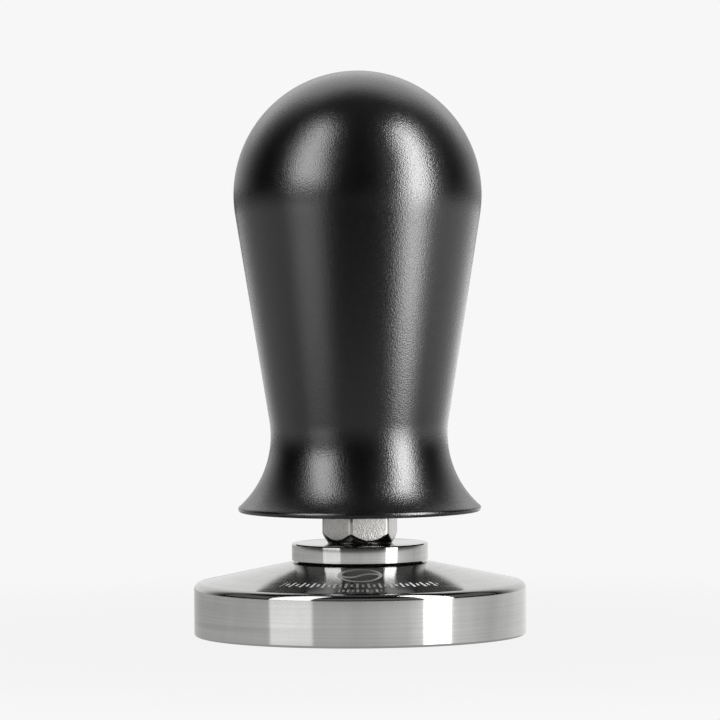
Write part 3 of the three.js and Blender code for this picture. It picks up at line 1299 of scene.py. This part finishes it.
@dataclass
class SpringSet(Assembly):
    """The washers and the spring, which turn with the handle and stay at their height."""

    body: str = "spring_set"
    washer_bore: float = 5.3
    thrust_edge: float = 0.15
    spring_edge: float = 0.1
    wire: float = 1.0
    open_turns: float = 7.0
    end_pitch: float = 2.1
    ground: float = 0.55
    points: int = 720

    def build(self) -> None:
        """Builds the two washers and the spring."""
        self.ring("thrust_washer", self.washer_bore, self.thrust_edge, Slot.ACETAL)
        self.ring("spring_washer", self.washer_bore, self.spring_edge, Slot.SHAFT_STEEL)
        self.spring()

    def spring(self) -> None:
        """The main spring, wound at the full length of its node."""
        outer, bottom, top = span("main_spring")
        length = (top - bottom) * MM
        values = {
            "Wire radius": self.wire * MM,
            "Coil radius": (outer - self.wire) * MM,
            "Bottom": bottom * MM,
            "Length": length,
            "Open turns": self.open_turns,
            "End pitch": self.end_pitch * MM,
            "Ground": self.ground * MM,
            "Points": self.points,
            "Finish": self.shop.finishes[Slot.SPRING_STEEL],
        }
        piece = self.shop.run(bpy.data.meshes.new("main_spring_wound"), self.shop.coil, values)
        self.stand_for(piece, "main_spring", Slot.SPRING_STEEL)
        travel = next(joint["range_m"][1] for joint in frame["joints"] if joint["name"] == "handle_press")
        (length - travel) / length
        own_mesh(piece)


@dataclass
class Handle(Assembly):
    """The handle's body and the pieces that slide inside with it."""

    body: str = "handle"
    ball: float = 21.8
    waist: float = 16.7
    waist_out: float = 32.3
    waist_up: float = 13.45
    lip: float = 0.55
    dish: float = 19.3
    dish_top: float = 13.0
    dish_depth: float = 3.5
    dish_lip: float = 0.25
    bore_lead: float = 0.8
    thread_bore: float = 12.06
    spring_bore: float = 10.1
    plug_bore: float = 9.06
    plug_room: float = 0.6
    drill_point: float = 4.0
    running: float = 5.06
    retainer_bore: float = 5.8
    seal_pocket: float = 6.66
    retainer_floor: float = 0.8
    spanner_hole: float = 1.5
    spanner_depth: float = 3.4
    spanner_out: float = 9.2
    lock_hole: float = 1.26
    lock_screw_radius: float = 1.2
    lock_socket: float = 0.75
    lock_socket_depth: float = 1.6
    lock_chamfer: float = 0.15
    bush_radius: float = 6.6
    flange_height: float = 1.0
    seal_edge: float = 0.42
    bumper_bore: float = 5.7
    bumper_edge: float = 0.8
    seat_pilot: float = 5.1
    seat_height: float = 2.0
    seat_room: float = 0.1
    seat_lead: float = 0.7
    clearance: float = 0.05
    retainer_chamfer: float = 0.5
    retainer_pitch: float = 1.5
    retainer_thread: float = 0.7
    disc_chamfer: float = 0.3
    disc_pitch: float = 1.0
    disc_thread: float = 0.45
    lock_ring_flats: float = 10.0
    plug_flats: float = 8.0

    def build(self) -> None:
        """Builds the nine pieces."""
        self.shell()
        self.retainer()
        self.lock_screw()
        self.bush()
        moulded = {"slot": Slot.BLACK_RUBBER, "steps": 6, "made": "moulded"}
        self.ring("shaft_seal", self.running, self.seal_edge, **moulded)
        self.ring("bumper_ring", self.bumper_bore, self.bumper_edge, **moulded)
        self.seat()
        self.socket_disc("plug_lock_ring", self.lock_ring_flats)
        self.socket_disc("calibration_plug", self.plug_flats)

    def lock_cutter(self) -> Object:
        """A drill for the lock screw's hole.

        Returns:
            The cutter.
        """
        node = "retainer_lock_screw"
        _, bottom, top = span(node)
        return self.shop.bar(32, self.lock_hole, bottom - 2, top + self.clearance, stand(node))

    def shell(self) -> None:
        """The handle: ball, straight taper, hollow waist, bell with a thin lip, and the stepped bore."""
        _, rim, top = span("handle_body")
        ball_z = top - self.ball
        waist_z = rim + self.waist_up
        apart = math.hypot(self.waist_out, ball_z - waist_z)
        lean = math.atan2(ball_z - waist_z, -self.waist_out) - math.asin((self.ball + self.waist) / apart)
        taper = 90 - math.degrees(lean)
        lip_z = rim + self.lip
        lip_r = self.waist_out - math.sqrt((self.waist + self.lip) ** 2 - (waist_z - lip_z) ** 2)
        flare = math.degrees(math.atan2(waist_z - lip_z, self.waist_out - lip_r))
        retainer_top = span("retaining_nut")[2] + self.clearance
        seat_room = span("spring_seat")[2] + self.seat_room
        plug_room = span("calibration_plug")[2] + self.plug_room
        waist = arc(self.waist_out, waist_z, self.waist, 180 + flare, 180 - taper, 44)
        ball = arc(0.0, ball_z, self.ball, -taper, 90, 72)
        outline = [
            *arc(lip_r, lip_z, self.lip, -90, flare, 12),
            *waist[1:],
            *between(waist[-1], ball[0], 24),
            *ball,
            (0.0, plug_room + self.drill_point),
            (self.plug_bore, plug_room),
            (self.plug_bore, seat_room + self.seat_lead),
            (self.spring_bore, seat_room),
            (self.spring_bore, retainer_top),
            (self.thread_bore, retainer_top),
            (self.thread_bore, rim + self.dish_depth + self.bore_lead),
            (self.dish_top, rim + self.dish_depth),
            *arc(self.dish - 0.2, rim + self.dish_lip, self.dish_lip, 140, 270, 5),
            (lip_r, rim),
        ]
        self.turned("handle_body", outline, Slot.HANDLE_BLACK, 256, cutters=[self.lock_cutter()])

    def retainer(self) -> None:
        """The ring nut that closes the bore, with two spanner holes and a thread."""
        radius, bottom, top = span("retaining_nut")
        foot = radius - self.retainer_chamfer
        start = bottom + self.retainer_chamfer
        thread = Thread(radius, start, top, self.retainer_pitch, self.retainer_thread)
        bore, pocket, floor = self.retainer_bore, self.seal_pocket, bottom + self.retainer_floor
        outline = [(bore, bottom), (foot, bottom), *thread.rows(), (pocket, top)]
        outline += [(pocket, floor), (bore, floor), (bore, bottom)]
        holes = [
            self.shop.bar(32, self.spanner_hole, bottom - 1, bottom + self.spanner_depth, (out, 0.0))
            for out in (-self.spanner_out, self.spanner_out)
        ]
        cutters = [*holes, self.lock_cutter()]
        self.turned("retaining_nut", outline, Slot.PLAIN_ALUMINIUM, 128, thread, cutters)

    def lock_screw(self) -> None:
        """The grub screw between the ring nut and the handle, with its hexagonal socket."""
        node = "retainer_lock_screw"
        _, bottom, top = span(node)
        at = stand(node)
        piece = self.shop.bar(40, self.lock_screw_radius, bottom, top, at, f"{node}_turned")
        piece.data.materials.append(self.shop.finishes[Slot.SPRING_STEEL])
        self.shop.bevel(piece, self.lock_chamfer)
        floor = bottom + self.lock_socket_depth
        self.shop.cut(piece, self.shop.bar(6, self.lock_socket, bottom - 1, floor, at))
        self.stand_for(piece, node, Slot.SPRING_STEEL)

    def bush(self) -> None:
        """The flanged bronze bush that guides the shank."""
        flange, bottom, top = span("guide_bush")
        under = top - self.flange_height
        corners = [
            (self.running, bottom, 0.2),
            (self.bush_radius, bottom, 0.15),
            (self.bush_radius, under, 0.1),
            (flange, under, 0.15),
            (flange, top, 0.2),
            (self.running, top, 0.2),
        ]
        self.turned("guide_bush", eased(corners), Slot.BRONZE)

    def seat(self) -> None:
        """The spring's upper seat with its pilot."""
        radius, bottom, top = span("spring_seat")
        pilot, under, edge, fine = self.seat_pilot, top - self.seat_height, 0.5, 0.2
        outline = [
            (0.0, bottom),
            *arc(pilot - edge, bottom + edge, edge, -90, 0, 4),
            (pilot, under),
            *arc(radius - fine, under + fine, fine, -90, 0, 3),
            *arc(radius - fine, top - fine, fine, 0, 90, 3),
            (0.0, top),
        ]
        self.turned("spring_seat", outline, Slot.SHAFT_STEEL)

    def socket_disc(self, node: str, flats: float) -> None:
        """A threaded disc with a hexagonal hole through it.

        Args:
            node: The node that it stands for.
            flats: The hole's width across flats.
        """
        radius, bottom, top = span(node)
        low, high, face = bottom + self.disc_chamfer, top - self.disc_chamfer, radius - self.disc_chamfer
        thread = Thread(radius, low, high, self.disc_pitch, self.disc_thread)
        outline = [(0.0, bottom), (face, bottom), *thread.rows(), (face, top), (0.0, top)]
        hole = self.shop.bar(6, flats / math.sqrt(3), bottom - 1, top + 1)
        self.turned(node, outline, Slot.PLAIN_ALUMINIUM, thread=thread, cutters=[hole])


# Studio


class Lit(Enum):
    """The two groups of pieces that have lights of their own."""

    BLACK = "black_pieces"
    METAL = "metal_pieces"


@dataclass(frozen=True)
class Softbox:
    """A tall softbox that stands round the tamper and lights one group of pieces.

    Its angles are in degrees, and its heights and its distance are in metres.
    """

    name: str
    lit: Lit
    angle: float
    half_width: float
    low: float
    high: float
    radiance: float
    lean: float = 0.0
    distance: float = 1.0

    def place(self) -> Object:
        """Adds the light.

        Returns:
            The light.
        """
        data = bpy.data.lights.new(self.name, "AREA")
        data.shape = "RECTANGLE"
        data.size = 2 * self.distance * math.tan(math.radians(self.half_width))
        data.size_y = self.high - self.low
        data.energy = self.radiance * math.pi * data.size * data.size_y
        turn = math.radians(self.angle)
        across, back = self.distance * math.sin(turn), -self.distance * math.cos(turn)
        light = put(self.name, data)
        light.location = (across, back, (self.low + self.high) / 2)
        upright = Vector((-across, -back, 0.0)).to_track_quat("-Z", "Y").to_matrix()
        light.rotation_euler = (upright @ Matrix.Rotation(math.radians(self.lean), 3, "Z")).to_euler()
        light.visible_camera = False
        return light


@dataclass(frozen=True)
class TableGlow:
    """What one group of pieces mirrors in the white table: a lit middle, and bands of light further out."""

    name: str
    lit: Lit
    drop_mm: float
    middle_to: float
    fades_by: float
    left: float
    right: float
    right_side: float
    left_side: float = 0.52
    middle: float = 0.46
    back: float = 0.5
    rest: float = 0.03
    left_band: Point = (-65.0, -33.0)
    right_band: Point = (42.0, 65.5)
    left_side_from: Point = (-62.0, -78.0)
    right_side_from: Point = (64.0, 76.0)
    back_from: Point = (125.0, 150.0)

    def level(self, tree: Tree) -> Term:
        """The light that leaves the table at each place.

        Args:
            tree: The table's material tree.

        Returns:
            The light.
        """
        place = Place.read(tree)
        turn = place.angle * DEGREES
        left = tree.band(turn, *self.left_band, 5.0) * self.left
        right = tree.band(turn, *self.right_band, 5.0) * self.right
        left_side = tree.step(turn, *self.left_side_from) * self.left_side
        right_side = tree.step(turn, *self.right_side_from) * self.right_side
        back = tree.step(abs(turn), *self.back_from) * self.back
        far = left + right + left_side + right_side + back + self.rest
        return tree.blend(tree.step(place.radius, self.middle_to, self.fades_by), self.middle, far)


# Angle from the front in degrees, and the light that the wall and the cone mirror low down there.
GLARE = (
    (-180, 0.12), (-165, 0.10), (-145, 0.02), (-100, 0.09), (-66.2, 0.14),
    (-65.0, 0.72), (-34.0, 0.72), (-32.8, 0.17), (0, 0.15), (20, 0.24), (32, 0.32),
    (40.5, 0.55), (44.2, 0.65), (45.2, 3.00), (65.2, 3.00), (66.2, 0.60),
    (74, 0.42), (90, 0.26), (103, 0.18), (117, 0.27), (136, 0.40), (180, 0.50),
)
# What the faint lights to each side have in common.
FILL = {"lit": Lit.METAL, "half_width": 20.0, "low": 0.22, "high": 0.9, "distance": 1.05}
SOFTBOXES = (
    Softbox("softbox_left", Lit.BLACK, -53.5, 16.3, low=0.22, high=2.15, radiance=6.5, lean=6.0),
    Softbox("softbox_right", Lit.BLACK, 63.0, 12.6, low=0.03, high=1.65, radiance=15.0, lean=-10.0),
    Softbox("softbox_back", Lit.BLACK, 180.0, 40.0, low=0.4, high=2.6, radiance=0.6),
    Softbox("softbox_left_metal", Lit.METAL, -49.5, 15.5, low=0.05, high=2.3, radiance=1.9),
    Softbox("softbox_right_metal", Lit.METAL, 55.5, 11.0, low=0.03, high=2.3, radiance=3.6),
    Softbox("softbox_front_metal", Lit.METAL, 5.0, 38.0, low=0.22, high=0.75, radiance=0.15, distance=1.05),
    Softbox("softbox_west_metal", angle=-88.0, radiance=0.13, **FILL),
    Softbox("softbox_east_metal", angle=88.0, radiance=0.13, **FILL),
)
# How far down each table's sheet lies, and how far out its lit middle goes.
NEAR = {"drop_mm": 0.1, "middle_to": 124.0, "fades_by": 187.0}
FAR = {"drop_mm": 0.2, "middle_to": 600.0, "fades_by": 900.0}
GLOWS = (
    TableGlow("table_for_black", Lit.BLACK, left=1.5, right=8.0, right_side=0.75, **NEAR),
    TableGlow("table_for_metal", Lit.METAL, left=0.3, right=1.5, right_side=0.5, **FAR),
)


@dataclass
class Studio:
    """The camera, the lights, the pale floor and the white table that the steel mirrors."""

    elevation: float = 2.16
    roll: float = -0.391
    distance: float = 1.0
    lens: float = 284.3
    aim: Corner = (0.23, 0.0, 48.34)
    paper: float = 0.93
    glare_peak: float = 3.0
    glare_below: Point = (-16.0, -9.0)
    backdrop: float = 0.84
    backdrop_from: Point = (108.0, 150.0)
    backdrop_up: Point = (68.0, 56.0)
    ceiling: float = 0.08
    ceiling_from: Point = (60.0, 80.0)
    dark: float = 0.005
    shadow_albedo: float = 0.03
    shadow_from: Point = (160.0, 50.0)
    floor_light: float = 1.45
    groups: dict[Lit, bpy.types.Collection] = field(default_factory=dict)

    def build(self) -> None:
        """Sets the studio up."""
        self.camera()
        self.world()
        self.floor()
        self.groups = {lit: bpy.data.collections.new(lit.value) for lit in Lit}
        for glow in GLOWS:
            self.table(glow).light_linking.receiver_collection = self.groups[glow.lit]
        for softbox in SOFTBOXES:
            softbox.place().light_linking.receiver_collection = self.groups[softbox.lit]
        bpy.context.scene.view_settings.view_transform = "Standard"
        bpy.context.scene.cycles.denoising_prefilter = "NONE"

    def camera(self) -> None:
        """The camera, a long lens from just above the table."""
        data = bpy.data.cameras.new("camera")
        data.lens = self.lens
        data.sensor_width = 36.0
        data.clip_start, data.clip_end = 0.05, 60.0
        rise = math.radians(self.elevation)
        back = Vector((0.0, -math.cos(rise), math.sin(rise)))
        turn = (-back).to_track_quat("-Z", "Y").to_matrix().to_4x4()
        tilt = Matrix.Rotation(math.radians(self.roll), 4, "Z")
        camera = put("camera", data)
        camera.matrix_world = Matrix.Translation(Vector(self.aim) * MM + back * self.distance) @ turn @ tilt
        bpy.context.scene.camera = camera

    def world(self) -> None:
        """A bright backdrop behind the tamper, a dark room in front, and the lights' images low down."""
        world = bpy.data.worlds.new("studio")
        world.use_nodes = True
        bpy.context.scene.world = world
        tree = Tree(world.node_tree)
        x, y, z = tree.parts(tree.add("ShaderNodeTexCoord").outputs["Generated"])
        turn = tree.math("ARCTAN2", x, -y) * DEGREES
        rise = tree.math("ARCSINE", z) * DEGREES
        behind = tree.step(abs(turn), *self.backdrop_from) * tree.step(rise, *self.backdrop_up)
        overhead = tree.step(rise, *self.ceiling_from) * self.ceiling
        upper = tree.math("MAXIMUM", behind * self.backdrop, overhead)
        stops = [((place + 180) / 360, level / self.glare_peak) for place, level in GLARE]
        ramp = tree.add("ShaderNodeValToRGB", {"stops": stops}, {0: (turn + 180.0) / 360.0})
        glare = Term(tree, ramp.outputs[0]) * self.glare_peak
        lower = glare * tree.step(rise, *self.glare_below)
        glow = tree.blend(tree.step(rise, 0.5, -0.5), upper, lower) + self.dark
        seen = Term(tree, tree.add("ShaderNodeLightPath").outputs["Is Camera Ray"])
        grey = tree.grey(tree.blend(seen, glow, self.paper))
        background = tree.add("ShaderNodeBackground", None, {"Color": grey})
        tree.add("ShaderNodeOutputWorld", None, {"Surface": background})

    def sheet(self, name: str, radius: float, height: float) -> Object:
        """A round sheet that lies flat.

        Args:
            name: Its name.
            radius: Its radius in metres.
            height: Its height in metres.

        Returns:
            The sheet.
        """
        work = bmesh.new()
        bmesh.ops.create_circle(work, cap_ends=True, segments=128, radius=radius)
        bmesh.ops.translate(work, verts=work.verts, vec=(0, 0, height))
        bmesh.ops.recalc_face_normals(work, faces=work.faces)
        made = put(name, mesh_of(name, work))
        return made

    def floor(self) -> None:
        """The pale floor: a lit white sheet with a faint contact shadow."""
        floor = self.sheet("floor", 50.0, -0.00005)
        floor.visible_glossy = False
        material, tree = new_material("lit_white_sheet")
        albedo = tree.step(Place.read(tree).radius, *self.shadow_from) * self.shadow_albedo
        shine = self.paper - albedo * self.floor_light
        glow = tree.add("ShaderNodeEmission", None, {"Color": tree.grey(shine)})
        paper = tree.add("ShaderNodeBsdfDiffuse", None, {"Color": tree.grey(albedo)})
        both = tree.add("ShaderNodeAddShader", None, {0: glow, 1: paper})
        tree.add("ShaderNodeOutputMaterial", None, {"Surface": both})
        floor.data.materials.append(material)

    def table(self, glow: TableGlow) -> Object:
        """The white table under the tamper, seen only in the reflections of one group of pieces.

        Args:
            glow: What those pieces mirror.

        Returns:
            The table's sheet.
        """
        table = self.sheet(glow.name, 1.2, -glow.drop_mm * MM)
        table.visible_camera = table.visible_diffuse = False
        table.visible_shadow = table.visible_transmission = False
        material, tree = new_material(glow.name)
        light = tree.add("ShaderNodeEmission", None, {"Color": tree.grey(glow.level(tree))})
        clear = tree.add("ShaderNodeBsdfTransparent", None, {"Color": (1, 1, 1, 1)})
        both = tree.add("ShaderNodeAddShader", None, {0: light, 1: clear})
        tree.add("ShaderNodeOutputMaterial", None, {"Surface": both})
        table.data.materials.append(material)
        return table

    def light(self, finishes: Finishes) -> None:
        """Puts each finished piece in the group whose lights it has.

        Args:
            finishes: The materials, which tell the finished pieces from everything else.
        """
        black = finishes[Slot.HANDLE_BLACK]
        for piece in list(bpy.context.scene.objects):
            worn = list(piece.data.materials) if piece.type == "MESH" else []
            if any(finish in worn for finish in finishes.materials.values()):
                self.groups[Lit.BLACK if black in worn else Lit.METAL].objects.link(piece)


def main() -> None:
    """Builds the studio and the tamper."""
    logging.basicConfig(level=logging.INFO, format="%(name)s: %(message)s")
    studio = Studio()
    studio.build()
    shop = Workshop(Finishes())
    for assembly in (BaseAssembly(shop), SpringSet(shop), Handle(shop)):
        LOG.info("building %s", type(assembly).__name__)
        assembly.build()
    studio.light(shop.finishes)


if __name__ == "__main__":
    main()
